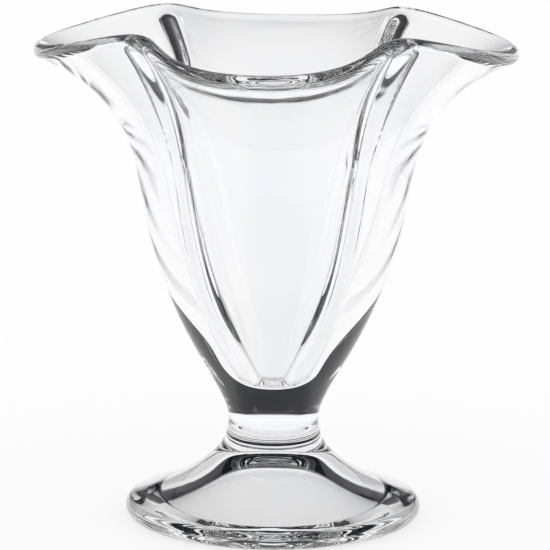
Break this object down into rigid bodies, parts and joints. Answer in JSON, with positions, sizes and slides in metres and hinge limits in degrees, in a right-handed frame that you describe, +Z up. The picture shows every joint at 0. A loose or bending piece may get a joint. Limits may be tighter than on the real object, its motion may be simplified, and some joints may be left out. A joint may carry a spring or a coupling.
{
  "type": "parfait glass",
  "caption": "Footed parfait or sundae glass of clear pressed glass: a deep bowl with a flared, drooping lobed rim and inner ridges, on a short waisted stem and a round hollow foot.",
  "frame": {"origin": "middle of the ring that the foot stands on, on the table", "axes": "+Z up along the axis of the glass; +X, -X, +Y and -Y each point to the middle of a drooping lobe of the rim, and -Y is the side that the picture shows in front"},
  "size_m": [0.1218, 0.1218, 0.1271],
  "materials": {
    "clear_glass": "fire-polished clear soda-lime glass"
  },
  "bodies": {
    "root": {"bowl": "clear_glass", "stem": "clear_glass", "foot": "clear_glass"}
  },
  "joints": []
}
